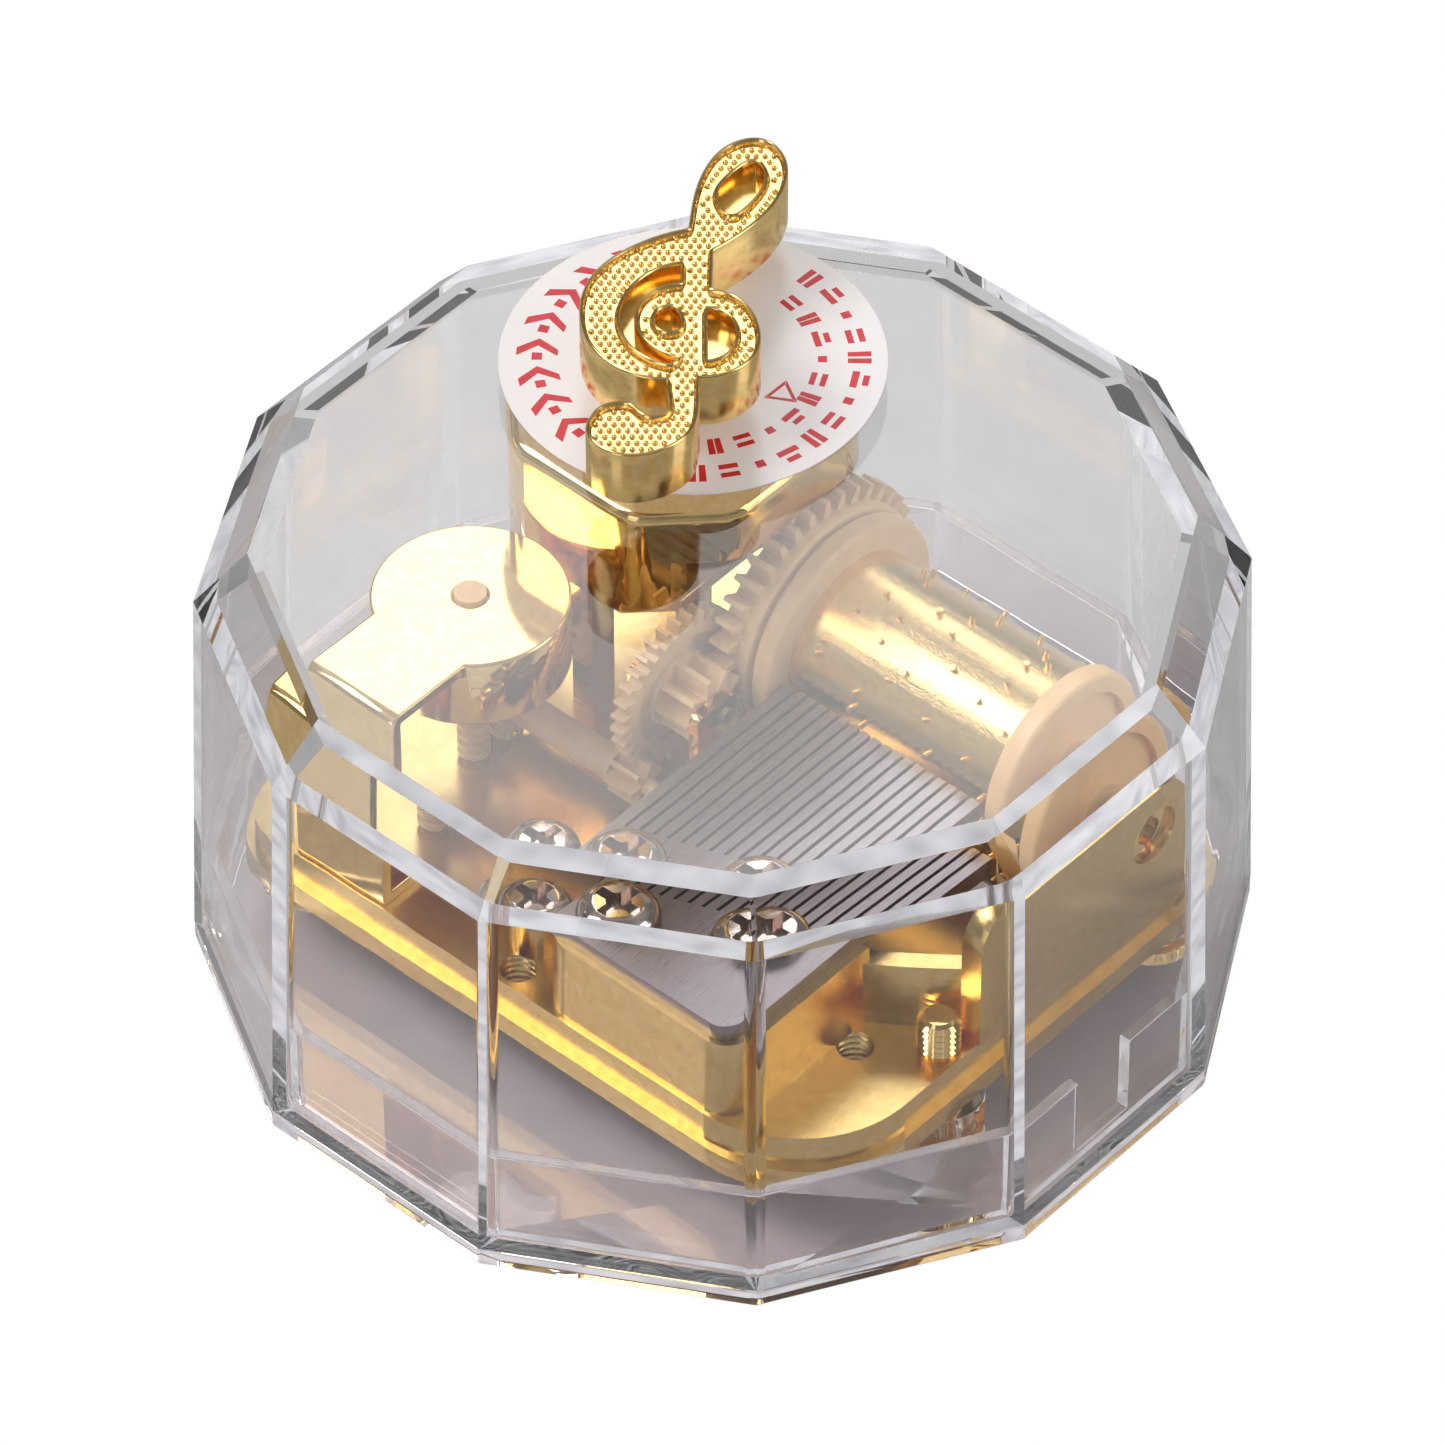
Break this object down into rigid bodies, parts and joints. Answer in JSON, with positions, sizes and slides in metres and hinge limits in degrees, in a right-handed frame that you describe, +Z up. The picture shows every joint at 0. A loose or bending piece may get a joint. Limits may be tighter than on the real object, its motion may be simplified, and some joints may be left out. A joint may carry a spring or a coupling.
{
  "type": "wind-up music box",
  "caption": "Wind-up music box in a clear twelve-sided case, with its pinned-drum movement on show and a treble-clef winding key on top.",
  "frame": {"origin": "centre of the underside of the case", "axes": "+Z up, +X along the drum from its gear to its end cap, +Y from the comb towards the drum"},
  "size_m": [0.07, 0.07, 0.0432],
  "materials": {
    "clear_acrylic": "clear, polished",
    "gold_plating": "polished plating",
    "beige_plastic": "satin moulded",
    "steel": "ground",
    "nickel": "bright nickel",
    "label_paper": "printed sticker",
    "lead": "cast lead"
  },
  "bodies": {
    "case": {"case_shell": "clear_acrylic", "base_plate": "clear_acrylic", "base_screws": "gold_plating", "key_label": "label_paper", "click_spring": "steel", "spring_housing": "gold_plating", "housing_base": "gold_plating", "housing_screws": "nickel", "drum_bracket": "gold_plating", "bearing_screw": "gold_plating", "wheel_bracket": "gold_plating", "pinion_bracket": "gold_plating", "worm_wheel_bracket": "gold_plating", "governor_cover": "gold_plating", "governor_screws": "nickel", "bedplate": "gold_plating", "comb": "steel", "comb_screws": "nickel", "comb_weights": "lead"},
    "key": {"clef_key": "gold_plating", "winding_arbor": "steel", "ratchet_wheel": "steel"},
    "barrel": {"spring_wheel": "beige_plastic", "mainspring": "steel"},
    "drum_unit": {"drum": "gold_plating", "drum_gear": "beige_plastic", "drum_end_cap": "beige_plastic", "drum_arbor": "steel"},
    "intermediate": {"intermediate_wheel": "beige_plastic", "intermediate_arbor": "steel"},
    "second": {"worm_wheel": "beige_plastic"},
    "governor": {"governor_worm": "beige_plastic", "governor_fan": "beige_plastic"}
  },
  "joints": [
    {"name": "key_wind", "type": "hinge", "parent": "case", "child": "key", "pos_m": [-0.0127, 0.0112, 0.0316], "axis": [0, 0, -1], "range_deg": [0, 1260]},
    {"name": "drum_spin", "type": "hinge", "parent": "case", "child": "drum_unit", "pos_m": [0.01, 0.0122, 0.0169], "axis": [1, 0, 0], "continuous": true},
    {"name": "barrel_spin", "type": "hinge", "parent": "case", "child": "barrel", "pos_m": [-0.0127, 0.0112, 0.026], "axis": [0, 0, 1], "continuous": true},
    {"name": "intermediate_spin", "type": "hinge", "parent": "case", "child": "intermediate", "pos_m": [-0.004, 0.00065, 0.0169], "axis": [1, 0, 0], "continuous": true},
    {"name": "second_spin", "type": "hinge", "parent": "case", "child": "second", "pos_m": [-0.01, -0.00417, 0.0119], "axis": [1, 0, 0], "continuous": true},
    {"name": "governor_spin", "type": "hinge", "parent": "case", "child": "governor", "pos_m": [-0.0155, -0.0081, 0.02], "axis": [0, 0, 1], "continuous": true}
  ],
  "couplings": [
    {"joint": "barrel_spin", "follows": "drum_spin", "ratio": -1},
    {"joint": "intermediate_spin", "follows": "drum_spin", "ratio": -4.2222},
    {"joint": "second_spin", "follows": "drum_spin", "ratio": 19.302},
    {"joint": "governor_spin", "follows": "drum_spin", "ratio": 77.206}
  ]
}
